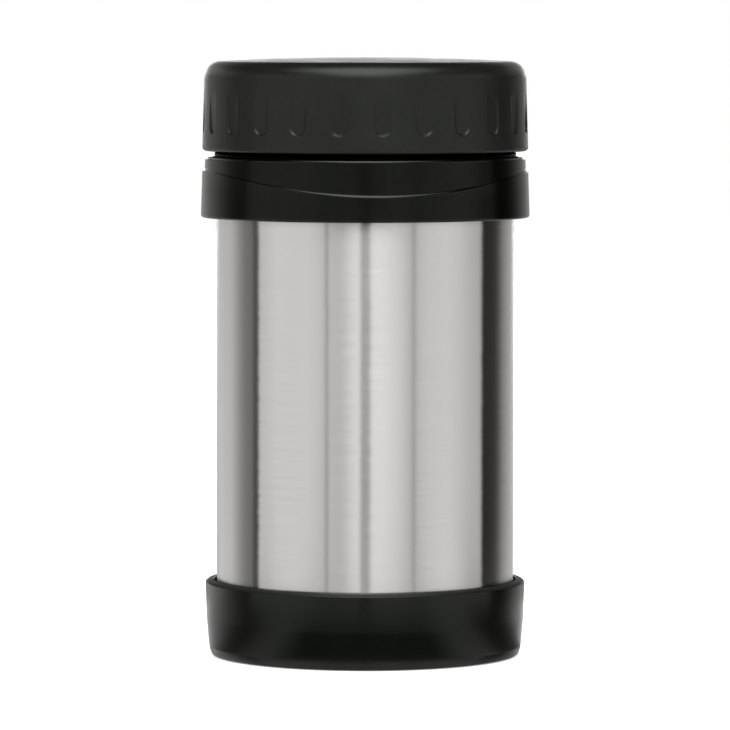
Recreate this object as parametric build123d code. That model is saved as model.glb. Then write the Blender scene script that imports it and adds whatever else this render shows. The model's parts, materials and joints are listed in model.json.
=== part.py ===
from build123d import *
import math
import os

# Wide-mouth insulated food jar, about half a litre.
# Millimetres, +Z up. The origin is the centre of the base, on the plane that the
# jar stands on. -Y is the front. Positive turns about +Z unscrew.

os.makedirs("parts", exist_ok=True)

# ---------------------------------------------------------------- dimensions
# steel flask
shell_r = 42.4          # outside of the steel body
wall = 0.5              # sheet thickness of both steel skins
shell_foot_z = 5.2      # underside of the steel body, inside the base cup
shoulder_z = 133.4      # where the steel body turns in to the neck
neck_r = 39.6           # outside of the steel neck
rim_z = 141.5           # flat top of the steel rim
liner_r = 37.0          # inside of the food vessel
liner_floor_z = 12.0    # inside floor of the food vessel
liner_corner_r = 6.0
foil_r = 39.3

# base cup
cup_top_z = 21.9
cup_foot_r = 2.7

# collar
collar_z0 = 125.7
collar_foot_r = 47.1
collar_top_z = 143.45
collar_bore_r = 42.7
collar_upper_r = 45.85
step_low_z = 133.45     # lowest point of the curved step
step_rise = 6.0         # its rise from the front to the side
step_turn = 5.5         # the curve's middle sits this far round from the front, deg
neck_bore_r = 40.0
neck_out_r = 42.4
neck_foot_r = 43.8       # the neck's foot leans in from here to the neck
neck_top_z = 157.3

# threads: two starts, one lead for the lid and for the stopper
lead = 10.0
bead_root_w = 2.2
bead_crest_w = 1.3
bead_offset = 1.95      # a turning bead runs this far under the fixed one
fixed_span = 180.0
turning_span = 140.0
turning_start = -50.0
lid_thread_z = 150.5
lid_thread_fixed_crest_r = 43.4
lid_thread_turning_crest_r = 42.8
stopper_thread_z = 149.4
stopper_thread_fixed_crest_r = 38.9
stopper_thread_turning_crest_r = 39.6

# stopper
plug_r = 36.3
stopper_r = 38.5
stopper_z0 = 132.0
stopper_body_top_z = 156.8
stopper_top_z = 158.8
well_floor_z = 149.3
bar_w = 15.0
bar_top_z = 158.3
boss_r = 11.5
button_r = 7.0
button_travel = 1.5
stem_r = 1.6
valve_r = 5.0

# lid
lid_z0 = 144.85
lid_top_z = 171.3
lid_foot_r = 46.68
lid_shoulder_r = 45.75
lid_root_r = 43.9
bowl_r = 40.2
bowl_ceiling_z = 167.2
lid_seat_z = 159.2
grips = 24
grip_w = 5.1
grip_low_z = 149.6
grip_floor_r = 45.95    # radius of a grip's floor at its low end
grip_lean = 0.42        # the floor leans out by this, so the grip fades upwards, deg
grip_phase = 5.9        # first grip, degrees round from the front


# ---------------------------------------------------------------- helpers
def profile(points):
    """Closed profile in the XZ plane. A point is (r, z), or (r, z, fillet), or
    (r, z, "via", rm, zm) for an arc that reaches (r, z) through (rm, zm)."""
    n = len(points)
    ends_in, ends_out, arcs = [], [], []
    for i in range(n):
        p = points[i]
        here = (p[0], p[1])
        f = p[2] if len(p) == 3 else 0.0
        if not f:
            ends_in.append(here)
            ends_out.append(here)
            arcs.append(None)
            continue
        a, b = points[i - 1], points[(i + 1) % n]
        ux, uy = a[0] - here[0], a[1] - here[1]
        vx, vy = b[0] - here[0], b[1] - here[1]
        lu, lv = math.hypot(ux, uy), math.hypot(vx, vy)
        ux, uy, vx, vy = ux / lu, uy / lu, vx / lv, vy / lv
        half = math.acos(max(-1.0, min(1.0, ux * vx + uy * vy))) / 2
        t = f / math.tan(half)
        if t > lu + 1e-6 or t > lv + 1e-6:
            raise ValueError(f"fillet {f} too large at {here}")
        bx, by = ux + vx, uy + vy
        lb = math.hypot(bx, by)
        d = f / math.sin(half)
        cx, cy = here[0] + bx / lb * d, here[1] + by / lb * d
        mx, my = cx - bx / lb * f, cy - by / lb * f
        ends_in.append((here[0] + ux * t, here[1] + uy * t))
        ends_out.append((here[0] + vx * t, here[1] + vy * t))
        arcs.append((mx, my))
    edges = []

    def v(p):
        return Vector(p[0], 0, p[1])

    for i in range(n):
        if arcs[i]:
            edges.append(ThreePointArc(v(ends_in[i]), v(arcs[i]), v(ends_out[i])))
        j = (i + 1) % n
        nxt = points[j]
        if len(nxt) == 5:
            edges.append(ThreePointArc(v(ends_out[i]), v(nxt[3:]), v(ends_in[j])))
        elif math.dist(ends_out[i], ends_in[j]) > 1e-6:
            edges.append(Line(v(ends_out[i]), v(ends_in[j])))
    return Face(Wire(edges))


def turned(points):
    return revolve(profile(points), Axis.Z, 360)


def ring(r0, r1, z0, z1, f=0.0):
    if f:
        return turned([(r0, z0, f), (r1, z0, f), (r1, z1, f), (r0, z1, f)])
    return turned([(r0, z0), (r1, z0), (r1, z1), (r0, z1)])


def disc(r, z0, z1):
    return Pos(0, 0, z0) * Cylinder(r, z1 - z0, align=(Align.CENTER, Align.CENTER, Align.MIN))


def bead(root_r, crest_r, z, start, span):
    """One thread bead: a helical ridge of trapezoid section. z is its middle
    at angle 0, start its first angle and span its length, in degrees."""
    sides = [
        (root_r, -bead_root_w / 2),
        (crest_r, -bead_crest_w / 2),
        (crest_r, bead_crest_w / 2),
        (root_r, bead_root_w / 2),
    ]
    z0 = z + lead * start / 360
    curves = []
    for r, dz in sides:
        e = Edge.make_helix(lead, lead * span / 360, r)
        curves.append(Pos(0, 0, z0 + dz) * (Rot(0, 0, start) * e))
    faces = []
    for i in range(4):
        faces.append(Face.make_surface_from_curves(curves[i], curves[(i + 1) % 4]))
    for k in (0, 1):
        corners = [c @ k for c in curves]
        faces.append(Face(Wire([Line(corners[i], corners[(i + 1) % 4]) for i in range(4)])))
    s = Solid(Shell(faces))
    if s.volume < 0:
        s = Solid(Shell([f for f in faces]).fix())
    return s


def beads(root_r, crest_r, z, start, span):
    one = bead(root_r, crest_r, z, start, span)
    return [one, Rot(0, 0, 180) * one]


def write(name, shape):
    solids = shape.solids()
    out = solids[0] if len(solids) == 1 else Compound(solids)
    out.label = name
    export_step(out, f"parts/{name}.step")
    return out


# ---------------------------------------------------------------- steel flask
si = shell_r - wall
ni = neck_r - wall
outer_shell = turned([
    (36.0, shell_foot_z), (shell_r, shell_foot_z, 2.6), (shell_r, shoulder_z + 2.2, 3.0),
    (neck_r, shoulder_z + 4.2, 1.4), (neck_r, rim_z - wall),
    (ni, rim_z - wall), (ni, shoulder_z + 3.85, 1.9), (si, shoulder_z + 1.9, 2.5),
    (si, shell_foot_z + wall, 2.1), (36.0, shell_foot_z + wall),
])

lo = liner_r + wall
inner_liner = turned([
    (0, liner_floor_z), (liner_r, liner_floor_z, liner_corner_r), (liner_r, rim_z, 0.9),
    (neck_r, rim_z, 0.25), (neck_r, rim_z - wall + 0.02), (lo, rim_z - wall + 0.02, 0.4),
    (lo, liner_floor_z - wall, liner_corner_r + wall), (0, liner_floor_z - wall),
])

# End plate of the vacuum space, dished up in the middle around the evacuation hole.
bottom_plate = turned([
    (1.2, 8.3), (13.0, 8.3, 0.9), (16.0, shell_foot_z + wall, 0.9), (39.7, shell_foot_z + wall),
    (39.7, 6.2), (16.3, 6.2, 0.9), (13.2, 8.8, 0.9), (1.2, 8.8),
])
vacuum_seal_plug = turned([
    (0, 6.9), (4.2, 6.9, 0.4), (4.2, 8.25), (1.1, 8.25), (1.1, 9.0, 0.25), (0, 9.0),
])
getter = Pos(24, 8, 0) * turned([
    (0, 6.4), (5.0, 6.4, 0.4), (5.0, 8.6, 0.4), (2.6, 8.6, 0.3), (2.6, 8.0, 0.3), (0, 8.0),
])
radiation_foil = ring(foil_r, foil_r + 0.2, 14.0, 130.0)

# ---------------------------------------------------------------- base cup
base_cup = turned([
    (0, 1.6), (33.0, 1.6, 0.6), (34.4, 0.0, 0.6), (45.0, 0.0, cup_foot_r),
    (45.45, 9.5, 14.0), (45.86, 20.95, 0.45), (45.0, 21.5, 0.5), (43.3, cup_top_z, 0.25),
    (42.85, cup_top_z, 0.2), (42.75, 20.4), (42.52, 19.6), (42.52, 3.6, 1.6), (0, 3.6),
])
base_cushion = turned([(0, 3.65), (33.5, 3.65, 0.4), (33.5, 5.1, 0.4), (0, 5.1)])

# ---------------------------------------------------------------- collar
collar_body = turned([
    (collar_bore_r, collar_z0), (collar_foot_r, collar_z0, 0.7), (collar_foot_r - 0.54, collar_z0 + 18.8),
    (43.1745, collar_z0 + 18.8), (neck_out_r, 145.8, 0.4),
    (neck_out_r, neck_top_z, 0.7), (neck_bore_r, neck_top_z, 0.5), (neck_bore_r, 138.6),
    (neck_bore_r + 0.35, 138.0), (collar_bore_r, 135.9, 1.0),
])
# The part of the wall above the curved step is set back to the upper radius.
over = turned([
    (collar_upper_r + 0.44, 128.0), (collar_upper_r, 143.3, 1.1), (44.2, 143.37), (neck_foot_r, collar_top_z),
    (43.1755, collar_z0 + 18.8), (43.1755, 146.0), (50.0, 146.0), (50.0, 128.0),
])
ru = 46.5
rho = (ru * ru + step_rise * step_rise) / (2 * step_rise)


def step_z(u):
    return step_low_z + rho - math.sqrt(rho * rho - u * u)


step_edges = [
    ThreePointArc(Vector(-56, step_z(-56), 0), Vector(0, step_low_z, 0), Vector(56, step_z(56), 0)),
    Line(Vector(56, step_z(56), 0), Vector(56, 160, 0)),
    Line(Vector(56, 160, 0), Vector(-56, 160, 0)),
    Line(Vector(-56, 160, 0), Vector(-56, step_z(-56), 0)),
]
above = extrude(Face(Wire(step_edges)), 60, dir=(0, 0, 1), both=True)
above = Rot(0, 0, step_turn) * (Rot(90, 0, 0) * above)
collar = collar_body - (over & above)
ledge = [
    e for e in collar.edges()
    if e.bounding_box().min.Z > step_low_z - 0.6 and e.bounding_box().max.Z < 139.6
    and min(math.hypot((e @ t).X, (e @ t).Y) for t in (0.0, 0.5, 1.0)) > 46.45
]
for f in (0.65, 0.6, 0.55, 0.5, 0.45, 0.4):
    try:
        rounded = fillet(ledge, f)
    except Exception:
        continue
    if rounded.is_valid and 0 < collar.volume - rounded.volume < 60:
        collar = rounded
        print("collar step rounded", f)
        break
for b in beads(neck_out_r - 0.25, lid_thread_fixed_crest_r, lid_thread_z, 0, fixed_span):
    collar = collar + b
for b in beads(neck_bore_r + 0.25, stopper_thread_fixed_crest_r, stopper_thread_z, 0, fixed_span):
    collar = collar + b
collar_seal = ring(shell_r + 0.02, collar_bore_r - 0.02, 127.4, 130.4, 0.1)

# ---------------------------------------------------------------- stopper
stopper_body = turned([
    (2.2, stopper_z0), (plug_r, stopper_z0, 3.6), (plug_r, 143.9), (stopper_r, 143.9, 0.4),
    (stopper_r, stopper_body_top_z), (stopper_r - 1.6, stopper_body_top_z),
    (stopper_r - 1.6, 147.0, 0.6), (34.7, 146.2, 0.6), (34.7, 133.6, 2.2),
    (3.6, 133.6, 0.4), (3.6, 147.4), (2.2, 147.4),
])
for b in beads(stopper_r - 0.25, stopper_thread_turning_crest_r, stopper_thread_z - bead_offset, turning_start, turning_span):
    stopper_body = stopper_body + b
stopper_insulation = ring(3.9, 34.4, 134.0, 145.9, 1.2)

stopper_cap = turned([
    (2.3, 147.5), (34.0, 147.5), (36.8, 148.6, 1.2), (36.8, stopper_body_top_z),
    (38.6, stopper_body_top_z, 0.3), (38.6, stopper_top_z, 0.8), (35.2, stopper_top_z, 0.8),
    (35.2, well_floor_z, 1.8), (2.3, well_floor_z),
])
bar = Pos(0, 0, (well_floor_z - 0.6 + bar_top_z) / 2) * Box(72.0, bar_w, bar_top_z - well_floor_z + 0.6)
bar = bar & disc(35.9, 140, 170)
boss = disc(boss_r, well_floor_z - 0.6, bar_top_z)
grip = bar + boss
top_edges = [e for e in grip.edges() if e.bounding_box().min.Z > bar_top_z - 0.01]
try:
    top_edges = [e for e in top_edges if max(math.hypot((e @ t).X, (e @ t).Y) for t in (0.0, 0.5, 1.0)) < 35.89 or abs((e @ 0.5).Y) > 3]
    g2 = fillet(top_edges, 1.4)
    if g2.is_valid:
        grip = g2
        print("bar edges rounded")
except Exception as err:
    print("bar left sharp:", err)
stopper_cap = stopper_cap + grip
stopper_cap = stopper_cap - disc(button_r + 0.3, 151.0, 162.0) - disc(2.3, 140.0, 160.0)

stopper_gasket = turned([
    (36.55, 141.62, 0.3), (38.55, 141.62, 0.6), (38.55, 143.78, 0.6), (36.55, 143.78, 0.3),
])

# ---------------------------------------------------------------- vent
vent_button = turned([
    (0, 129.0), (2.3, 129.0, 0.5), (2.5, 130.1), (stem_r, 130.1), (stem_r, 156.7),
    (5.4, 156.7), (5.4, 153.2), (button_r, 153.2), (button_r, 158.5, 0.8), (4.6, 158.6, 1.2),
    (3.6, 158.25, 1.2), (0, 158.25),
])
vent_valve = turned([
    (stem_r + 0.02, 130.15), (3.4, 130.15, 0.5), (valve_r, 131.1, 0.3), (valve_r, 131.85),
    (3.2, 131.9), (stem_r + 0.02, 131.9),
])
spring_path = Edge.make_helix(1.25, 5.0, 3.3)
spring_section = Face(Wire(Edge.make_circle(0.25, Plane(origin=(3.3, 0, 0), z_dir=spring_path % 0))))
vent_spring = Pos(0, 0, 151.35) * Solid.sweep(spring_section, [spring_path], is_frenet=True)

# ---------------------------------------------------------------- lid
dome = 1.0 / (41.2 * 41.2)


def dome_z(r):
    return lid_top_z - dome * r * r


slope = -2 * dome * 38.0
corner_z = dome_z(38.0) + slope * (lid_shoulder_r - 38.0)
lid_shell = turned([
    (0, lid_top_z), (38.0, dome_z(38.0), "via", 19.0, dome_z(19.0)), (lid_shoulder_r, corner_z, 4.8),
    (lid_foot_r, lid_z0, 1.6), (44.0, lid_z0, 0.3), (44.0, 145.7), (45.08, 145.7),
    (44.45, 165.6), (44.4, 169.2, 2.8), (0, 169.4),
])
slot_r = grip_w / 2
slot_mid = grip_low_z + slot_r
slot = (
    Pos(0, 0, slot_mid) * Rot(0, 90, 0) * Cylinder(slot_r, 4, align=(Align.CENTER, Align.CENTER, Align.MIN))
    + Pos(0, 0, slot_mid) * Box(4, grip_w, 18.0, align=(Align.MIN, Align.CENTER, Align.MIN))
)
slot = Pos(grip_floor_r, 0, grip_low_z) * Rot(0, grip_lean, 0) * Pos(0, 0, -grip_low_z) * slot
cutters = [Rot(0, 0, -90 + grip_phase + i * 360 / grips) * slot for i in range(grips)]
lid_shell = lid_shell - cutters

lid_liner = turned([
    (lid_root_r, 145.8, 0.2), (44.95, 145.8), (44.5, 159.6), (44.5, 160.2, 0.3), (41.2, 160.2, 0.8),
    (41.2, 168.2, 3.4), (0, 168.2), (0, bowl_ceiling_z), (bowl_r, bowl_ceiling_z, 2.5),
    (bowl_r, lid_seat_z, 0.3), (lid_root_r, lid_seat_z, 0.4),
])
for b in beads(lid_root_r + 0.25, lid_thread_turning_crest_r, lid_thread_z - bead_offset, turning_start, turning_span):
    lid_liner = lid_liner + b
lid_gasket = turned([
    (40.5, 157.42, 0.3), (43.2, 157.42, 0.3), (43.2, 159.1, 0.3), (40.5, 159.1, 0.3),
])

# ---------------------------------------------------------------- write
pieces = {
    "outer_shell": outer_shell,
    "inner_liner": inner_liner,
    "bottom_plate": bottom_plate,
    "vacuum_seal_plug": vacuum_seal_plug,
    "getter": getter,
    "radiation_foil": radiation_foil,
    "base_cup": base_cup,
    "base_cushion": base_cushion,
    "collar": collar,
    "collar_seal": collar_seal,
    "stopper_body": stopper_body,
    "stopper_insulation": stopper_insulation,
    "stopper_cap": stopper_cap,
    "stopper_gasket": stopper_gasket,
    "vent_button": vent_button,
    "vent_valve": vent_valve,
    "vent_spring": vent_spring,
    "lid_shell": lid_shell,
    "lid_liner": lid_liner,
    "lid_gasket": lid_gasket,
}
for name, shape in pieces.items():
    write(name, shape)
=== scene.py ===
import json
import math

import bpy
import numpy as np
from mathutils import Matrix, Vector


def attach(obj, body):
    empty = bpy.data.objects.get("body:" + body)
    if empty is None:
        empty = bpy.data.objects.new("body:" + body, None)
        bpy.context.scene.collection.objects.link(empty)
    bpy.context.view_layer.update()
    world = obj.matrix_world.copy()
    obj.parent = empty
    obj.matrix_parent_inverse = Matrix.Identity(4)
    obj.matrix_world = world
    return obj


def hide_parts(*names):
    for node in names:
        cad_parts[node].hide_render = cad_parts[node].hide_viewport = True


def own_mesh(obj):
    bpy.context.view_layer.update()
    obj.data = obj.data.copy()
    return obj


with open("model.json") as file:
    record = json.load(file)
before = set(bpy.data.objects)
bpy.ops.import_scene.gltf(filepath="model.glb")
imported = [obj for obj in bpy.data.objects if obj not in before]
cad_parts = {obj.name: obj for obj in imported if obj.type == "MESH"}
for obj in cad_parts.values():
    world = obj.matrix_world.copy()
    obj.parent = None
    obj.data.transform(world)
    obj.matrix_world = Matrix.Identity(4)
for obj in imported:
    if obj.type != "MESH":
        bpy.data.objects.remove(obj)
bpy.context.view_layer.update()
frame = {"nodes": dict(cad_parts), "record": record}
scene = bpy.context.scene
nodes = frame["nodes"]

# The jar's dimensions are in millimetres, as in the CAD; MM turns them into metres.
MM = 0.001


# ------------------------------------------------------------------ camera
cam_data = bpy.data.cameras.new("camera")
cam = bpy.data.objects.new("camera", cam_data)
scene.collection.objects.link(cam)
cam.location = (-0.00012, -1.600, 0.186)
cam.rotation_euler = (math.pi / 2 - 0.0642, -0.0008, 0)
cam_data.sensor_width = 36
cam_data.lens = 275.4
cam_data.clip_start = 0.05
cam_data.clip_end = 60
scene.camera = cam
scene.view_settings.view_transform = "Standard"


# ------------------------------------------------------------------ node helpers
class Tree:
    """A short way to write node trees. A value is a number, a tuple or a socket."""

    def __init__(self, owner):
        owner.use_nodes = True
        self.nt = owner.node_tree
        self.nt.nodes.clear()

    def add(self, kind, **props):
        n = self.nt.nodes.new(kind)
        for k, v in props.items():
            setattr(n, k, v)
        return n

    def put(self, socket, value):
        if isinstance(value, bpy.types.NodeSocket):
            self.nt.links.new(value, socket)
        elif value is not None:
            socket.default_value = value

    def math(self, op, a, b=None, c=None, clamp=False):
        n = self.add("ShaderNodeMath", operation=op, use_clamp=clamp)
        for s, v in zip(n.inputs, (a, b, c)):
            self.put(s, v)
        return n.outputs[0]

    def vec(self, op, a, b=None, scale=None):
        n = self.add("ShaderNodeVectorMath", operation=op)
        self.put(n.inputs[0], a)
        if b is not None:
            self.put(n.inputs[1], b)
        if scale is not None:
            self.put(n.inputs["Scale"], scale)
        return n.outputs["Value"] if op in ("DOT_PRODUCT", "LENGTH", "DISTANCE") else n.outputs["Vector"]

    def ramp(self, fac, stops, ease="LINEAR"):
        n = self.add("ShaderNodeValToRGB")
        n.color_ramp.interpolation = ease
        e = n.color_ramp.elements
        while len(e) > 1:
            e.remove(e[-1])
        for i, (p, v) in enumerate(stops):
            el = e[0] if i == 0 else e.new(p)
            el.position = p
            el.color = (v, v, v, 1) if not hasattr(v, "__len__") else (*v, 1)
        self.put(n.inputs[0], fac)
        return n.outputs["Color"]

    def noise(self, vector, scale, detail=2.0, rough=0.5, distortion=0.0):
        n = self.add("ShaderNodeTexNoise")
        self.put(n.inputs["Vector"], vector)
        self.put(n.inputs["Scale"], scale)
        self.put(n.inputs["Detail"], detail)
        self.put(n.inputs["Roughness"], rough)
        self.put(n.inputs["Distortion"], distortion)
        return n.outputs["Fac"]

    def voronoi(self, vector, scale, feature="F1"):
        n = self.add("ShaderNodeTexVoronoi", feature=feature)
        self.put(n.inputs["Vector"], vector)
        self.put(n.inputs["Scale"], scale)
        return n.outputs["Distance"]

    def remap(self, v, a, b, c, d, clamp=True):
        n = self.add("ShaderNodeMapRange", clamp=clamp)
        for k, x in zip(("From Min", "From Max", "To Min", "To Max"), (a, b, c, d)):
            self.put(n.inputs[k], x)
        self.put(n.inputs["Value"], v)
        return n.outputs[0]

    def mix(self, f, a, b):
        n = self.add("ShaderNodeMix", data_type="RGBA")
        self.put(n.inputs[0], f)
        self.put(n.inputs[6], (*a, 1) if hasattr(a, "__len__") else a)
        self.put(n.inputs[7], (*b, 1) if hasattr(b, "__len__") else b)
        return n.outputs[2]

    def bump(self, height, distance, strength=1.0, normal=None):
        n = self.add("ShaderNodeBump")
        self.put(n.inputs["Strength"], strength)
        self.put(n.inputs["Distance"], distance)
        self.put(n.inputs["Height"], height)
        if normal is not None:
            self.put(n.inputs["Normal"], normal)
        return n.outputs[0]

    def surface(self, **sockets):
        b = self.add("ShaderNodeBsdfPrincipled")
        for k, v in sockets.items():
            self.put(b.inputs[k.replace("_", " ")], v)
        out = self.add("ShaderNodeOutputMaterial")
        self.nt.links.new(b.outputs[0], out.inputs["Surface"])
        return b


def material(name):
    m = bpy.data.materials.new(name)
    return m, Tree(m)


# ------------------------------------------------------------------ materials
def plastic(name, tone, rough, grain=0.16, depth=0.012, spread=0.06, specular=0.5, matt_top=0.0):
    """Moulded plastic with the fine spark-eroded grain of its mould."""
    m, t = material(name)
    at = t.add("ShaderNodeTexCoord").outputs["Object"]
    fine = t.noise(at, 1 / (grain * MM), 2.0, 0.6)
    cloud = t.noise(at, 90.0, 3.0, 0.55)
    mould = t.noise(at, 700.0, 2.0, 0.5)
    blend = t.math("ADD", t.math("MULTIPLY", cloud, 0.6), t.math("MULTIPLY", mould, 0.4))
    dark = tuple(c * 0.86 for c in tone)
    light = tuple(c * 1.14 for c in tone)
    colour = t.mix(t.remap(blend, 0.35, 0.65, 0.0, 1.0), dark, light)
    r = t.remap(blend, 0.3, 0.7, rough - spread, rough + spread)
    if matt_top:
        facing = t.add("ShaderNodeSeparateXYZ")
        t.nt.links.new(t.add("ShaderNodeNewGeometry").outputs["Normal"], facing.inputs[0])
        r = t.math("ADD", r, t.math("MULTIPLY", t.remap(facing.outputs[2], 0.3, 0.8, 0.0, 1.0), matt_top))
    n = t.bump(fine, depth * MM, 1.0)
    b = t.surface(Base_Color=colour, Roughness=r, Normal=n, IOR=1.5, Specular_IOR_Level=specular)
    b.inputs["Specular Tint"].default_value = (0.96, 1.0, 0.91, 1)
    return m


def brushed(name, tone, rough, anisotropic, ragged=0.02, seed=0.0, streak=(60.0, 60.0, 6000.0)):
    """Steel brushed round its axis: the scratches are short level lines."""
    m, t = material(name)
    at = t.add("ShaderNodeTexCoord").outputs["Object"]
    tangent = t.add("ShaderNodeTangent", direction_type="RADIAL", axis="Z").outputs[0]
    lines = t.vec("MULTIPLY", at, streak)
    lines = t.vec("ADD", lines, (seed, seed * 0.7, seed * 1.3))
    n1 = t.noise(lines, 1.0, 3.0, 0.65)
    n2 = t.noise(t.vec("ADD", t.vec("MULTIPLY", at, (streak[0] * 1.2, streak[1] * 1.2, streak[2] * 0.32)), (5.1, 2.7, 9.2)), 1.0, 2.0, 0.5)
    s1 = t.math("SUBTRACT", n1, 0.5)
    s2 = t.math("SUBTRACT", n2, 0.5)
    normal = t.add("ShaderNodeNewGeometry").outputs["Normal"]
    push = t.vec("ADD", t.vec("SCALE", tangent, scale=t.math("MULTIPLY", t.math("ADD", s1, t.math("MULTIPLY", s2, 1.8)), ragged)),
                 t.vec("SCALE", (0, 0, 1), scale=t.math("MULTIPLY", s2, ragged * 1.5)))
    bent = t.vec("NORMALIZE", t.vec("ADD", normal, push))
    r = t.remap(n1, 0.3, 0.7, rough - 0.015, rough + 0.015)
    shade = t.remap(n2, 0.3, 0.7, 0.98, 1.01)
    base = t.vec("SCALE", tone, scale=shade)
    t.surface(Base_Color=base, Metallic=1.0, Roughness=r, Normal=bent,
              Anisotropic=anisotropic, Anisotropic_Rotation=0.25, Tangent=tangent)
    return m


def metal(name, tone, rough, scale=400.0, depth=0.01, spread=0.1):
    """Plain metal with an uneven mill or cast surface."""
    m, t = material(name)
    at = t.add("ShaderNodeTexCoord").outputs["Object"]
    a = t.noise(at, scale, 4.0, 0.6)
    b = t.noise(at, scale * 6, 2.0, 0.5)
    colour = t.mix(t.remap(a, 0.35, 0.65, 0, 1), tuple(c * 0.85 for c in tone), tone)
    r = t.remap(b, 0.3, 0.7, max(0.02, rough - spread), rough + spread)
    t.surface(Base_Color=colour, Metallic=1.0, Roughness=r, Normal=t.bump(a, depth * MM, 1.0))
    return m


def foil_sheet(name, tone):
    """Thin bright foil with the creases that winding leaves."""
    m, t = material(name)
    at = t.add("ShaderNodeTexCoord").outputs["Object"]
    crease = t.voronoi(t.vec("MULTIPLY", at, (1, 1, 0.6)), 160.0, "DISTANCE_TO_EDGE")
    crease = t.remap(crease, 0.0, 0.12, 0.0, 1.0)
    soft = t.noise(at, 300.0, 3.0, 0.6)
    h = t.math("ADD", crease, t.math("MULTIPLY", soft, 0.8))
    t.surface(Base_Color=(*tone, 1), Metallic=1.0, Roughness=t.remap(soft, 0.3, 0.7, 0.12, 0.25),
              Normal=t.bump(h, 0.08 * MM, 1.0))
    return m


def foamed(name, tone):
    """Closed-cell foam: small round cells, slightly uneven."""
    m, t = material(name)
    at = t.add("ShaderNodeTexCoord").outputs["Object"]
    cell = t.voronoi(at, 900.0, "SMOOTH_F1")
    big = t.noise(at, 120.0, 2.0, 0.5)
    colour = t.mix(t.remap(cell, 0.1, 0.7, 0, 1), tone, tuple(c * 0.82 for c in tone))
    r = t.remap(big, 0.3, 0.7, 0.7, 0.85)
    t.surface(Base_Color=colour, Roughness=r, Normal=t.bump(cell, 0.25 * MM, 1.0))
    return m


def silicone_rubber(name, tone, rough, scatter):
    """Moulded silicone or rubber: satin, a little dusty, faint flow marks."""
    m, t = material(name)
    at = t.add("ShaderNodeTexCoord").outputs["Object"]
    flow = t.noise(t.vec("MULTIPLY", at, (150.0, 150.0, 600.0)), 1.0, 3.0, 0.55)
    fine = t.noise(at, 3500.0, 2.0, 0.5)
    colour = t.mix(t.remap(flow, 0.3, 0.7, 0, 1), tuple(c * 0.9 for c in tone), tuple(min(1, c * 1.08) for c in tone))
    r = t.remap(flow, 0.3, 0.7, rough - 0.06, rough + 0.08)
    b = t.surface(Base_Color=colour, Roughness=r, Normal=t.bump(fine, 0.02 * MM, 1.0), IOR=1.42)
    b.inputs["Subsurface Weight"].default_value = scatter
    b.inputs["Subsurface Radius"].default_value = (1.0, 0.9, 0.8)
    b.inputs["Subsurface Scale"].default_value = 0.002
    return m


mats = {
    "steel_body": brushed("brushed_steel_body", (0.60, 0.592, 0.572), 0.20, 1.0, ragged=0.014),
    "steel_vessel": brushed("satin_steel_vessel", (0.62, 0.615, 0.605), 0.26, 0.7, ragged=0.012, seed=3.0,
                            streak=(40.0, 40.0, 3500.0)),
    "vacuum_end": metal("mill_finish_steel", (0.5, 0.5, 0.5), 0.38, 350.0, 0.008),
    "seal_metal": metal("cast_seal_metal", (0.5, 0.5, 0.51), 0.5, 900.0, 0.03),
    "getter_pellet": metal("sintered_getter", (0.16, 0.16, 0.17), 0.62, 2500.0, 0.04),
    "foil": foil_sheet("wound_foil", (0.78, 0.78, 0.79)),
    "black_plastic": plastic("collar_black_plastic", (0.0009, 0.0013, 0.0008), 0.18, grain=0.20, depth=0.002, spread=0.025, specular=0.255),
    "lid_plastic": plastic("lid_black_plastic", (0.0078, 0.0084, 0.0073), 0.35, grain=0.16, depth=0.008, spread=0.04, specular=0.23),
    "stopper_plastic": plastic("stopper_black_plastic", (0.018, 0.018, 0.0185), 0.42, grain=0.18, depth=0.008),
    "button_plastic": plastic("button_grey_plastic", (0.16, 0.165, 0.165), 0.40, grain=0.18, depth=0.008),
    "foam": foamed("white_foam", (0.80, 0.80, 0.77)),
    "silicone": silicone_rubber("grey_silicone", (0.42, 0.43, 0.42), 0.45, 0.35),
    "black_rubber": silicone_rubber("black_rubber", (0.02, 0.02, 0.02), 0.6, 0.0),
    "spring_steel": metal("bright_spring_wire", (0.62, 0.62, 0.62), 0.22, 1500.0, 0.004, 0.06),
}

cup_plastic = plastic("base_cup_black_plastic", (0.0018, 0.0024, 0.0013), 0.20, grain=0.18, depth=0.002, spread=0.03, specular=0.25, matt_top=0.42)
slots = {s["node"]: s["material_slot"] for s in frame["record"]["subparts"]}


def dress(obj, slot, finish=None):
    obj.data.materials.clear()
    obj.data.materials.append(finish or mats[slot])


for name, obj in nodes.items():
    dress(obj, slots[name])


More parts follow.
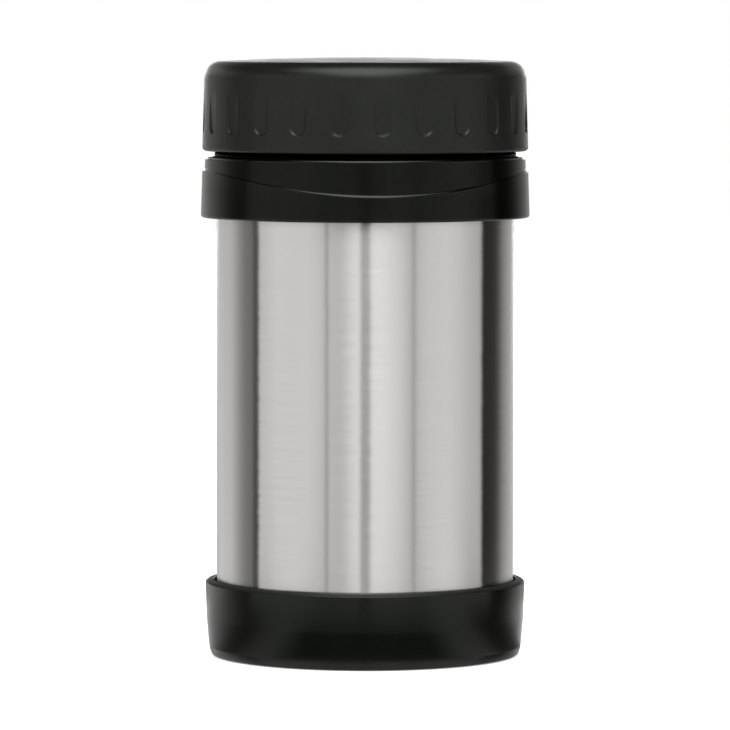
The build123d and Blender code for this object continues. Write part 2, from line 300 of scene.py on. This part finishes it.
# ------------------------------------------------------------------ turned surfaces
def outline(points, run=3.0, turn=7.5, support=0.14):
    """Loop of (r, z) points. A corner (r, z, f) is rounded with radius f."""
    n = len(points)
    legs = []
    for i in range(n):
        p = points[i]
        here = np.array(p[:2], float)
        f = p[2] if len(p) > 2 else 0.0
        if not f:
            legs.append([here])
            continue
        a = np.array(points[i - 1][:2], float) - here
        b = np.array(points[(i + 1) % n][:2], float) - here
        a /= np.linalg.norm(a)
        b /= np.linalg.norm(b)
        half = math.acos(max(-1.0, min(1.0, float(a @ b)))) / 2
        mid = (a + b) / np.linalg.norm(a + b)
        centre = here + mid * f / math.sin(half)
        s = here + a * f / math.tan(half) - centre
        e = here + b * f / math.tan(half) - centre
        a0, a1 = math.atan2(s[1], s[0]), math.atan2(e[1], e[0])
        while a1 - a0 > math.pi:
            a1 -= 2 * math.pi
        while a1 - a0 < -math.pi:
            a1 += 2 * math.pi
        k = max(3, math.ceil(abs(math.degrees(a1 - a0)) / turn))
        legs.append([centre + f * np.array([math.cos(a0 + (a1 - a0) * j / k), math.sin(a0 + (a1 - a0) * j / k)])
                     for j in range(k + 1)])
    loop = []
    for i in range(n):
        loop.extend(legs[i])
        s, e = legs[i][-1], legs[(i + 1) % n][0]
        if s[0] < 1e-9 and e[0] < 1e-9:
            continue
        length = float(np.linalg.norm(e - s))
        cuts = []
        if length > 4 * support:
            cuts = [support / length, 1 - support / length]
        k = int(length // run)
        cuts += [j / (k + 1) for j in range(1, k + 1)]
        for c in sorted(set(round(c, 6) for c in cuts)):
            loop.append(s + (e - s) * c)
    return [tuple(p) for p in loop]


def refine(loop, where, step):
    """Adds rows, so that no run of the loop inside where(r, z) is longer than step."""
    out = []
    n = len(loop)
    for i in range(n):
        a, b = np.array(loop[i]), np.array(loop[(i + 1) % n])
        out.append(tuple(a))
        m = (a + b) / 2
        length = float(np.linalg.norm(b - a))
        pieces = [a + (b - a) * t for t in np.linspace(0, 1, max(2, int(length / step) + 2))]
        if length <= step or not any(where(*p) for p in pieces):
            continue
        # only the part inside the region is cut
        inside = [p for p in pieces[1:-1] if where(*p)]
        out.extend(tuple(p) for p in inside)
    return out


def spun(name, loop, phis, body, replaces, slot, shape=None, sharp=32.0, centre=(0.0, 0.0), finish=None):
    """Closed surface of a loop turned about Z, at the angles phis in degrees.
    shape(R, Z, PHI) moves its points. Loop points on the axis become poles."""
    r = np.array([p[0] for p in loop])
    z = np.array([p[1] for p in loop])
    on_axis = r < 1e-6
    poles = []
    if on_axis.any():
        first = next(i for i in range(len(r)) if on_axis[i] and on_axis[(i + 1) % len(r)])
        order = [(first + 1 + k) % len(r) for k in range(len(r))]
        r, z = r[order], z[order]
        poles = [z[0], z[-1]]
        r, z = r[1:-1], z[1:-1]
    ph = np.array(phis, float)
    R = np.repeat(r[:, None], len(ph), 1)
    Z = np.repeat(z[:, None], len(ph), 1)
    PHI = np.repeat(ph[None, :], len(r), 0)
    if shape:
        R, Z = shape(R, Z, PHI)
    a = np.radians(PHI)
    X = (R * np.cos(a) + centre[0]) * MM
    Y = (R * np.sin(a) + centre[1]) * MM
    P = np.stack([X, Y, Z * MM], -1).reshape(-1, 3)
    nr, npz = R.shape
    idx = np.arange(nr * npz).reshape(nr, npz)
    nxt = np.roll(idx, -1, 1)
    rows = nr if not poles else nr - 1
    up = np.roll(idx, -1, 0)[:rows]
    upn = np.roll(nxt, -1, 0)[:rows]
    quads = np.stack([idx[:rows], nxt[:rows], upn, up], -1).reshape(-1, 4)
    faces = quads.tolist()
    if poles:
        base = len(P)
        P = np.vstack([P, [[centre[0] * MM, centre[1] * MM, poles[0] * MM], [centre[0] * MM, centre[1] * MM, poles[1] * MM]]])
        for j in range(npz):
            k = (j + 1) % npz
            faces.append([base, int(idx[0, k]), int(idx[0, j])])
            faces.append([base + 1, int(idx[-1, j]), int(idx[-1, k])])
    # volume of the closed surface, to turn its faces outwards
    vol = 0.0
    q = quads
    for tri in ((0, 1, 2), (0, 2, 3)):
        A, B, C = P[q[:, tri[0]]], P[q[:, tri[1]]], P[q[:, tri[2]]]
        vol += float(np.einsum("ij,ij->i", A, np.cross(B, C)).sum()) / 6
    if poles:
        for f in faces[len(quads):]:
            A, B, C = P[f[0]], P[f[1]], P[f[2]]
            vol += float(A @ np.cross(B, C)) / 6
    if vol < 0:
        faces = [f[::-1] for f in faces]
    return solid(name, P, faces, body, replaces, slot, sharp, finish)


def solid(name, points, faces, body, replaces, slot, sharp=32.0, finish=None):
    me = bpy.data.meshes.new(name)
    me.from_pydata([tuple(p) for p in points], [], faces)
    me.validate()
    me.polygons.foreach_set("use_smooth", [True] * len(me.polygons))
    me.set_sharp_from_angle(angle=math.radians(sharp))
    me.update()
    o = bpy.data.objects.new(name, me)
    scene.collection.objects.link(o)
    o.data.materials.append(finish or mats[slot])
    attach(o, body)
    for node in replaces:
        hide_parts(node)
    return o


def even(n, start=0.0):
    return [start + 360.0 * i / n for i in range(n)]


def smooth(t):
    t = np.clip(t, 0.0, 1.0)
    return t * t * (3 - 2 * t)


# two-start threads, right-handed
LEAD = 10.0


def thread(PHI, Z, z0, start, span, fade=10.0):
    """Height, 0 to 1, of two thread beads of trapezoid section with run-out ends."""
    h = np.zeros_like(Z)
    for s in (0.0, 180.0):
        a = (PHI - s - start) % 360.0
        mid = z0 + LEAD * (start + a) / 360.0
        t = smooth((1.1 - np.abs(Z - mid)) / 0.64)
        e = smooth(np.minimum(a, span - a) / fade)
        h = np.maximum(h, np.where(a <= span, t * e, 0.0))
    return h


def along(Z, PHI, z0, start, lo, hi, half=1.15):
    """Rows between lo and hi, bent to run along the thread instead of level."""
    c = (lo + hi) / 2
    mid = z0 + LEAD * (start + (PHI - start) % 180.0) / 360.0
    mid = np.clip(mid, lo + half + 0.04, hi - half - 0.04)
    bent = Z + mid - c
    bent = np.where(Z < c - half, lo + (Z - lo) * (mid - half - lo) / (c - half - lo), bent)
    bent = np.where(Z > c + half, hi - (hi - Z) * (hi - mid - half) / (hi - c - half), bent)
    return np.where((Z > lo) & (Z < hi), bent, Z)


# ------------------------------------------------------------------ lid
LID_TOP, LID_FOOT = 171.3, 144.70
DOME = 1 / (41.2 * 41.2)
GRIPS, GRIP_W, GRIP_LOW, GRIP_FLOOR = 24, 5.1, 149.6, 45.95
GRIP_LEAN = math.tan(math.radians(1.05))
GRIP_PHASE = -90 + 5.9


def dome(r):
    return LID_TOP - DOME * r * r


corner = dome(38.0) - 2 * DOME * 38.0 * (45.95 - 38.0)
lid_points = [(0, LID_TOP)] + [(float(r), dome(float(r))) for r in (1.5, 4, 8, 12, 16, 20, 24, 28, 31, 34, 36.5)] + [
    (38.0, dome(38.0)), (45.95, corner, 4.7), (46.68, LID_FOOT, 1.05), (44.0, LID_FOOT, 0.3), (44.0, 145.7),
    (45.08, 145.7), (44.45, 165.6), (44.4, 169.2, 2.8), (0, 169.4),
]
lid_loop = outline(lid_points)
lid_loop = refine(lid_loop, lambda r, z: r > 45.7 and 149.1 < z < 152.7, 0.12)
lid_loop = refine(lid_loop, lambda r, z: r > 45.7 and 152.7 <= z < 165.5, 0.8)


def grips(R, Z, PHI):
    pitch = 360.0 / GRIPS
    a = np.radians((PHI - GRIP_PHASE + pitch / 2) % pitch - pitch / 2)
    side = R * np.sin(a)
    mid = GRIP_LOW + GRIP_W / 2
    d = np.where(Z < mid, np.hypot(side, Z - mid), np.abs(side)) - GRIP_W / 2
    edge = 0.60
    s = smooth((d + edge) / edge)
    floor = (GRIP_FLOOR + (Z - GRIP_LOW) * GRIP_LEAN) / np.cos(a)
    outer = (R > 45.7) & (Z > 148.5) & (Z < 166.5) & (floor < R)
    return np.where(outer, floor + (R - floor) * s, R), Z


sector = sorted(set(
    [round(x, 4) for x in np.arange(-3.36, 3.3601, 0.16)] + [-7.0, -5.8, -4.7, -4.0, 4.0, 4.7, 5.8, 7.0]
))
lid_phis = [GRIP_PHASE + 360.0 / GRIPS * k + s for k in range(GRIPS) for s in sector]
spun("lid_outer_shell", lid_loop, lid_phis, "lid", ["lid_shell"], "lid_plastic", grips)

liner_loop = outline([
    (43.9, 145.8, 0.2), (44.95, 145.8), (44.5, 159.6), (44.5, 160.2, 0.3), (41.2, 160.2, 0.8),
    (41.2, 168.2, 3.4), (0, 168.2), (0, 167.2), (40.2, 167.2, 2.5), (40.2, 159.2, 0.3), (43.9, 159.2, 0.4),
])
liner_loop = refine(liner_loop, lambda r, z: abs(r - 43.9) < 0.02 and 146.05 < z < 152.6, 0.16)


def lid_thread(R, Z, PHI):
    on = (np.abs(R - 43.9) < 0.03) & (Z > 146.0) & (Z < 158.0)
    Z = np.where(on, along(Z, PHI, 150.5 - 1.95, -50.0, 146.05, 152.6), Z)
    return np.where(on, R - 1.1 * thread(PHI, Z, 150.5 - 1.95, -50.0, 140.0), R), Z


spun("lid_inner_wall", liner_loop, even(360), "lid", ["lid_liner"], "lid_plastic", lid_thread)
spun("lid_seal_ring", outline([(40.5, 157.42, 0.3), (43.2, 157.42, 0.3), (43.2, 159.1, 0.3), (40.5, 159.1, 0.3)]),
     even(240), "lid_seal", ["lid_gasket"], "silicone")

# ------------------------------------------------------------------ collar
STEP_LOW, STEP_RISE, STEP_TURN = 133.45, 6.0, 5.5
RU = 46.5
RHO = (RU * RU + STEP_RISE * STEP_RISE) / (2 * STEP_RISE)
STEP_AT = 136.0   # where the loop has the step, before it is bent to its curve


def band(z):
    return 47.1 - 0.0287 * (z - 125.7)


def upper_wall(z):
    return 45.85 + 0.0287 * (143.3 - z)


# the step's edge is rounded more along the wall than across it
EDGE_W, EDGE_H = 0.70, 1.0
edge = [(band(STEP_AT) - EDGE_W * (1 - math.cos(a)), STEP_AT - EDGE_H * (1 - math.sin(a)))
        for a in np.radians([0, 6, 12, 19, 26, 34, 42, 50, 58, 66, 74, 82, 90])]
collar_loop = outline([(42.7, 125.7), (47.1, 125.7, 0.7)] + edge + [
    (upper_wall(STEP_AT), STEP_AT), (45.85, 143.17, 0.9), (44.2, 143.25), (43.8, 143.35), (42.4, 145.8, 0.4), (42.4, 157.3, 0.7),
    (40.0, 157.3, 0.5), (40.0, 138.6), (40.35, 138.0), (42.7, 135.9, 1.0),
])
collar_loop = refine(collar_loop, lambda r, z: abs(r - 42.4) < 0.02 and 148.8 < z < 156.7, 0.15)
collar_loop = refine(collar_loop, lambda r, z: abs(r - 40.0) < 0.02 and 147.8 < z < 155.8, 0.16)


def collar_shape(R, Z, PHI):
    u = RU * np.cos(np.radians(PHI - STEP_TURN))
    step = STEP_LOW + RHO - np.sqrt(RHO * RHO - u * u)
    face = R > 45.7
    # the step's edge is softest in front and behind, sharper at the sides
    soft = 0.45 + 0.55 * smooth((46.0 - np.degrees(np.arcsin(np.abs(u) / RU))) / 24.0)
    rounded = (R > band(STEP_AT) - EDGE_W - 1e-6) & (Z > STEP_AT - EDGE_H - 1e-6) & (Z <= STEP_AT + 1e-6)
    R = np.where(rounded, band(STEP_AT) - soft * (band(STEP_AT) - R), R)
    Z = np.where(rounded, STEP_AT - soft * (STEP_AT - Z), Z)
    below = face & (Z <= STEP_AT + 1e-6)
    above = face & (Z > STEP_AT + 1e-6)
    z0, z1 = 126.6, STEP_AT - EDGE_H - 0.2
    move = step - STEP_AT
    f = np.clip((Z - z0) / (z1 - z0), 0, 1)
    newz = np.where(below, Z + move * f, Z)
    g = np.clip((142.1 - Z) / (142.1 - (STEP_AT + 0.2)), 0, 1)
    newz = np.where(above, Z + move * g, newz)
    newr = np.where(below | (above & (Z < 142.1)), R - 0.0287 * (newz - Z), R)
    out = (np.abs(R - 42.4) < 0.03) & (Z > 148.0)
    newz = np.where(out, along(Z, PHI, 150.5, 0.0, 148.8, 156.6), newz)
    newr = np.where(out, R + 1.0 * thread(PHI, newz, 150.5, 0.0, 180.0), newr)
    inn = (np.abs(R - 40.0) < 0.03) & (Z > 147.0)
    newz = np.where(inn, along(Z, PHI, 149.4, 0.0, 147.8, 155.8), newz)
    newr = np.where(inn, R - 1.1 * thread(PHI, newz, 149.4, 0.0, 180.0), newr)
    return newr, newz


spun("collar_and_neck", collar_loop, even(480), "jar", ["collar"], "black_plastic", collar_shape)

# ------------------------------------------------------------------ steel flask
spun("steel_body", outline([
    (36.0, 5.2), (42.4, 5.2, 2.6), (42.4, 19.9), (42.6, 20.9), (42.6, 135.6, 3.0), (39.6, 137.6, 1.4), (39.6, 141.0),
    (39.1, 141.0), (39.1, 137.25, 1.9), (41.9, 135.3, 2.5), (41.9, 5.7, 2.1), (36.0, 5.7),
]), even(360), "jar", ["outer_shell"], "steel_body")
spun("steel_vessel", outline([
    (0, 12.0), (37.0, 12.0, 6.0), (37.0, 141.5, 0.9), (39.6, 141.5, 0.25), (39.6, 141.02),
    (37.5, 141.02, 0.4), (37.5, 11.5, 6.5), (0, 11.5),
]), even(288), "jar", ["inner_liner"], "steel_vessel")

# ------------------------------------------------------------------ base cup
spun("base_cup_moulding", outline([
    (0, 1.6), (33.0, 1.6, 0.6), (34.4, 0.0, 0.6), (43.95, 0.0, 0.8), (44.75, 2.0, 7.0), (45.0, 5.0, 16.0),
    (45.5, 10.5, 24.0), (45.86, 20.95, 0.32), (45.2, 21.5, 0.4), (43.45, 21.85, 0.2), (43.2, 20.2), (42.52, 19.6), (42.52, 3.6, 1.6), (0, 3.6),
]), even(360), "jar", ["base_cup"], "black_plastic", finish=cup_plastic)

# ------------------------------------------------------------------ stopper
plug_loop = outline([
    (2.2, 132.0), (36.3, 132.0, 3.6), (36.3, 143.9), (38.5, 143.9, 0.4), (38.5, 156.8), (36.9, 156.8),
    (36.9, 147.0, 0.6), (34.7, 146.2, 0.6), (34.7, 133.6, 2.2), (3.6, 133.6, 0.4), (3.6, 147.4), (2.2, 147.4),
])
plug_loop = refine(plug_loop, lambda r, z: abs(r - 38.5) < 0.02 and 144.4 < z < 151.4, 0.16)


def plug_thread(R, Z, PHI):
    on = (np.abs(R - 38.5) < 0.03) & (Z > 144.3) & (Z < 156.5)
    Z = np.where(on, along(Z, PHI, 149.4 - 1.95, -50.0, 144.4, 151.4), Z)
    return np.where(on, R + 1.1 * thread(PHI, Z, 149.4 - 1.95, -50.0, 140.0), R), Z


spun("stopper_plug", plug_loop, even(360), "stopper", ["stopper_body"], "stopper_plastic", plug_thread)
spun("stopper_seal_ring", outline([
    (36.55, 141.62, 0.3), (38.55, 141.62, 0.6), (38.55, 143.78, 0.6), (36.55, 143.78, 0.3),
]), even(240), "stopper_seal", ["stopper_gasket"], "silicone")
spun("vent_push_button", outline([
    (0, 129.0), (2.3, 129.0, 0.5), (2.5, 130.1), (1.6, 130.1), (1.6, 156.7), (5.4, 156.7), (5.4, 153.2),
    (7.0, 153.2), (7.0, 158.5, 0.8), (4.6, 158.6, 1.2), (3.6, 158.25, 1.2), (0, 158.25),
]), even(96), "vent", ["vent_button"], "button_plastic")
spun("vent_valve_disc", outline([
    (1.62, 130.15), (3.4, 130.15, 0.5), (5.0, 131.1, 0.3), (5.0, 131.85), (3.2, 131.9), (1.62, 131.9),
]), even(96), "vent", ["vent_valve"], "silicone")


def coil_spring(name, body, node, slot):
    """Compression spring of round wire, with closed and ground ends."""
    z0, z1, rc, rw = 151.1, 156.6, 3.3, 0.25
    turns, closed, dense = 5.5, 0.9, 0.53
    rise = (z1 - z0 - rw - 2 * closed * dense) / (turns - 2 * closed)
    n, m = 44, 12
    k = int(turns * n)
    pts, fcs = [], []
    for i in range(k + 1):
        w = turns * i / k
        zc = z0 + rw / 2 + dense * min(w, closed) + rise * min(max(w - closed, 0.0), turns - 2 * closed)
        zc += dense * max(w - (turns - closed), 0.0)
        a = 2 * math.pi * w
        for j in range(m):
            b = 2 * math.pi * j / m
            rr = rc + rw * math.cos(b)
            zz = min(max(zc + rw * math.sin(b), z0), z1)
            pts.append((rr * math.cos(a) * MM, rr * math.sin(a) * MM, zz * MM))
    for i in range(k):
        for j in range(m):
            q = (j + 1) % m
            fcs.append((i * m + j, (i + 1) * m + j, (i + 1) * m + q, i * m + q))
    fcs.append(tuple(range(m)))
    fcs.append(tuple(k * m + j for j in reversed(range(m))))
    o = solid(name, pts, fcs, body, [node], slot)
    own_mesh(o)


coil_spring("vent_coil_spring", "stopper", "vent_spring", "spring_steel")

# ------------------------------------------------------------------ floor
disc_n = 96
rings = (0.05, 0.1, 0.2, 0.5, 1.2, 3.0)
pts = [(0.0, 0.0, -0.0002)]
for rr in rings:
    pts += [(rr * math.cos(2 * math.pi * i / disc_n), rr * math.sin(2 * math.pi * i / disc_n), -0.0002) for i in range(disc_n)]
fcs = [(0, 1 + i, 1 + (i + 1) % disc_n) for i in range(disc_n)]
for k in range(len(rings) - 1):
    a0, b0 = 1 + k * disc_n, 1 + (k + 1) * disc_n
    fcs += [(a0 + i, b0 + i, b0 + (i + 1) % disc_n, a0 + (i + 1) % disc_n) for i in range(disc_n)]
fm = bpy.data.meshes.new("floor")
fm.from_pydata(pts, [], fcs)
floor = bpy.data.objects.new("floor", fm)
scene.collection.objects.link(floor)
mat, t = material("pale_floor")
dif = t.add("ShaderNodeBsdfDiffuse")
dif.inputs["Color"].default_value = (0.8, 0.8, 0.8, 1)
em = t.add("ShaderNodeEmission")
em.inputs["Color"].default_value = (1, 1, 1, 1)
em.inputs["Strength"].default_value = 0.55
both = t.add("ShaderNodeAddShader")
t.nt.links.new(dif.outputs[0], both.inputs[0])
t.nt.links.new(em.outputs[0], both.inputs[1])
out = t.add("ShaderNodeOutputMaterial")
t.nt.links.new(both.outputs[0], out.inputs["Surface"])
fm.materials.append(mat)
floor.visible_glossy = False
floor.visible_diffuse = False
floor.visible_transmission = False

# The table as the lower walls mirror it: a card that glows and is seen only in reflections, painted with shade round
# the foot, more of it in front of the jar, pale further out.
card_rings = (0.050, 0.056, 0.064, 0.075, 0.09, 0.11, 0.13, 0.15)
pts = []
for rr in card_rings:
    pts += [(rr * math.cos(2 * math.pi * i / disc_n), rr * math.sin(2 * math.pi * i / disc_n), -0.0001) for i in range(disc_n)]
fcs = []
for k in range(len(card_rings) - 1):
    a0, b0 = k * disc_n, (k + 1) * disc_n
    fcs += [(a0 + i, b0 + i, b0 + (i + 1) % disc_n, a0 + (i + 1) % disc_n) for i in range(disc_n)]
cm = bpy.data.meshes.new("table_shade")
cm.from_pydata(pts, [], fcs)
card = bpy.data.objects.new("table_shade", cm)
scene.collection.objects.link(card)
mat, t = material("table_shade")
far = t.vec("LENGTH", t.add("ShaderNodeTexCoord").outputs["Object"])
out_at = t.remap(far, 0.05, 0.15, 0.0, 1.0)
# painted shade in front of the jar: dim close to the foot, darkest in a ring further out, bright at the card's edge
in_front = t.ramp(out_at, [(0.0, 0.75), (0.03, 0.52), (0.06, 0.30), (0.10, 0.14), (0.44, 0.14), (0.60, 0.22), (0.76, 0.50),
                           (0.88, 1.05), (1.0, 1.65)])
beside = t.ramp(out_at, [(0.0, 0.95), (0.2, 0.85), (1.0, 0.95)])
round_at = t.add("ShaderNodeSeparateXYZ")
t.put(round_at.inputs[0], t.add("ShaderNodeTexCoord").outputs["Object"])
turn = t.math("ARCTAN2", round_at.outputs[0], t.math("MULTIPLY", round_at.outputs[1], -1.0))
turn = t.math("ADD", t.math("DIVIDE", turn, 2 * math.pi), 0.5)
turned_to = t.ramp(turn, [((d + 180) / 360, v) for d, v in ((-180, 0), (-46, 0), (-32, 1), (34, 1), (48, 0), (180, 0))])
tone = t.mix(turned_to, beside, in_front)
# painted shade: darker in two bands to the left and right of the camera, where the dark flags would be mirrored
tone = t.vec("SCALE", tone, scale=t.ramp(turn, [((d + 180) / 360, v) for d, v in (
    (-180, 1.0), (-130, 0.9), (-108, 0.75), (-98, 0.62), (-89, 0.38), (-81, 0.22), (-72, 0.18), (-66, 0.32), (-58, 0.65),
    (-50, 0.92), (0, 1.0), (55, 0.95), (64, 0.72), (70, 0.36), (76, 0.15), (84, 0.11), (92, 0.13), (98, 0.20), (106, 0.34),
    (114, 0.75), (130, 1.0), (180, 1.0))]))
em = t.add("ShaderNodeEmission")
t.put(em.inputs["Color"], tone)
em.inputs["Strength"].default_value = 1.0
out = t.add("ShaderNodeOutputMaterial")
t.nt.links.new(em.outputs[0], out.inputs["Surface"])
cm.materials.append(mat)
card.visible_camera = False
card.visible_diffuse = False
card.visible_transmission = False
card.visible_shadow = False

# ------------------------------------------------------------------ studio light
# The world is the studio: softboxes, flags and a strip light round the jar. Azimuth 0 is the
# camera, 90 the right, 180 behind. Only reflections and light see it; the camera sees white.
world = bpy.data.worlds.new("studio")
scene.world = world
t = Tree(world)
way = t.add("ShaderNodeTexCoord").outputs["Generated"]
sep = t.add("ShaderNodeSeparateXYZ")
t.put(sep.inputs[0], way)
wx, wy, wz = sep.outputs
azimuth = t.math("ARCTAN2", wx, t.math("MULTIPLY", wy, -1.0))
right = t.math("GREATER_THAN", azimuth, 0.0)
left_at = t.math("ADD", t.math("DIVIDE", azimuth, math.pi), 1.0)     # 0 behind, 1 at the camera
right_at = t.math("DIVIDE", azimuth, math.pi)                       # 0 at the camera, 1 behind
height = t.math("ADD", t.math("MULTIPLY", wz, 0.5), 0.5)


def both_sides(left, rightward):
    a = t.ramp(left_at, [((d + 180.0) / 180.0, v) for d, v in left])
    b = t.ramp(right_at, [(d / 180.0, v) for d, v in rightward])
    return t.mix(right, a, b)


def el(deg):
    return math.sin(math.radians(deg)) * 0.5 + 0.5


# the softboxes, from -14 to 26 degrees: the steel mostly shows these
wide = both_sides(
    [(-180, 0.80), (-166, 0.62), (-158, 0.66), (-150, 0.80), (-128, 0.83), (-119, 0.60), (-110, 0.36), (-103, 0.28),
     (-98.5, 0.26), (-96.5, 0.05), (-91.6, 0.04), (-89.9, 1.20), (-85, 1.08), (-73, 1.22), (-60, 1.19), (-45, 1.17),
     (-36, 1.02), (-31.6, 0.88), (-30.8, 0.40), (-28.9, 0.40), (-28.1, 0.86), (-20, 0.68), (-15, 0.74), (-10, 0.98),
     (-4.6, 1.10), (-2.8, 0.07), (0, 0.04)],
    [(0, 0.04), (2.8, 0.07), (4.8, 1.08), (10, 1.14), (18, 1.14), (26, 1.10), (31, 0.98), (35.8, 0.86), (37.4, 0.52), (38.8, 0.52),
     (40.6, 0.92), (50, 1.11), (66, 1.18), (80, 1.06), (90, 0.98), (99.5, 0.94), (101.6, 0.84), (103.6, 0.02),
     (121, 0.04), (127, 0.12), (133, 0.30), (140, 0.42), (147, 0.50), (158, 0.56), (168, 0.70), (180, 0.80)])
# a dimmer band of them at the horizon: the black collar mostly shows this
horizon = both_sides(
    [(-180, 0.55), (-150, 0.66), (-133, 0.68), (-121, 0.50), (-110, 0.24), (-101, 0.18), (-92, 0.34), (-85, 0.52),
     (-72, 0.74), (-46, 0.76), (-24, 0.78), (-18, 0.70), (-12, 0.58), (-6, 0.44), (-2, 0.30), (0, 0.30)],
    [(0, 0.30), (3, 0.36), (7, 0.54), (14, 0.62), (40, 0.66), (54, 0.72), (68, 0.84), (77, 0.80), (84, 0.48),
     (88, 0.22), (92, 0.03), (99, 0.01), (108, 0.01), (115, 0.05), (124, 0.12), (131, 0.24), (139, 0.42), (148, 0.60),
     (180, 0.55)])
WIDE, BAND, STRIP = 1.04, 0.55, 6.0
band_el = t.ramp(height, [(el(-1.6), 0.0), (el(-0.6), 1.0), (el(4.5), 1.0), (el(6.5), 0.0)])
wide_el = t.ramp(height, [(el(-50), 0.0), (el(-38), 0.45), (el(-16), 0.6), (el(-12), 1.0), (el(-1.6), 1.0), (el(-0.6), 0.0),
                          (el(4.5), 0.0), (el(6.5), 1.0), (el(22), 1.0), (el(27), 0.0)])
gap = both_sides([(-180, 0.0), (-5.0, 0.0), (-2.8, 1.0), (0, 1.0)], [(0, 1.0), (2.8, 1.0), (5.0, 0.0), (180, 0.0)])
gap_el = t.ramp(height, [(el(4.5), 0.0), (el(6.5), 0.95), (el(22), 0.95), (el(27), 0.0)])
under = t.ramp(height, [(el(-90), 1.2), (el(-60), 1.2), (el(-42), 0.95), (el(-30), 0.5), (el(-20), 0.15), (el(-14), 0.0)])
sides = t.math("ADD", t.math("MULTIPLY", wide, t.math("MULTIPLY", wide_el, WIDE)),
               t.math("MULTIPLY", horizon, t.math("MULTIPLY", band_el, BAND)))
sides = t.math("ADD", sides, t.math("MULTIPLY", gap, gap_el))
# straight behind: a bright sweep at the horizon, dark above it
behind = t.remap(wy, 0.92, 0.98, 0.0, 1.0)
back = t.ramp(height, [(el(-40), 0.1), (el(-14), 0.30), (el(-6), 0.36), (el(-0.5), 0.5), (el(1), 8.5), (el(4), 6.5),
                       (el(7), 3.0), (el(10), 0.7), (el(14), 0.05), (el(40), 0.02), (el(70), 0.05)])
sides = t.math("ADD", t.math("MULTIPLY", sides, t.math("SUBTRACT", 1.0, behind)), t.math("MULTIPLY", back, behind))
# strip light over the camera
lat = t.math("ARCTAN2", t.math("ABSOLUTE", wx), t.math("MAXIMUM", wz, 0.0001))
strip = t.remap(lat, math.radians(22), math.radians(43), 1.0, 0.0)
over = t.math("ARCTAN2", wz, t.math("MULTIPLY", wy, -1.0))
s1 = t.remap(over, math.radians(18), math.radians(32), 0.0, 1.0)
s2 = t.remap(over, math.radians(72), math.radians(90), 1.0, 0.0)
strip = t.math("MULTIPLY", strip, t.math("MULTIPLY", s1, s2))
light = t.math("ADD", t.math("ADD", sides, under), t.math("MULTIPLY", strip, STRIP))
lit = t.add("ShaderNodeBackground")
t.put(lit.inputs["Color"], (1, 0.995, 0.985, 1))
t.put(lit.inputs["Strength"], light)
plain = t.add("ShaderNodeBackground")
t.put(plain.inputs["Color"], (1, 1, 1, 1))
t.put(plain.inputs["Strength"], 1.0)
seen = t.add("ShaderNodeLightPath").outputs["Is Camera Ray"]
choose = t.add("ShaderNodeMixShader")
t.put(choose.inputs[0], seen)
t.nt.links.new(lit.outputs[0], choose.inputs[1])
t.nt.links.new(plain.outputs[0], choose.inputs[2])
out = t.add("ShaderNodeOutputWorld")
t.nt.links.new(choose.outputs[0], out.inputs["Surface"])
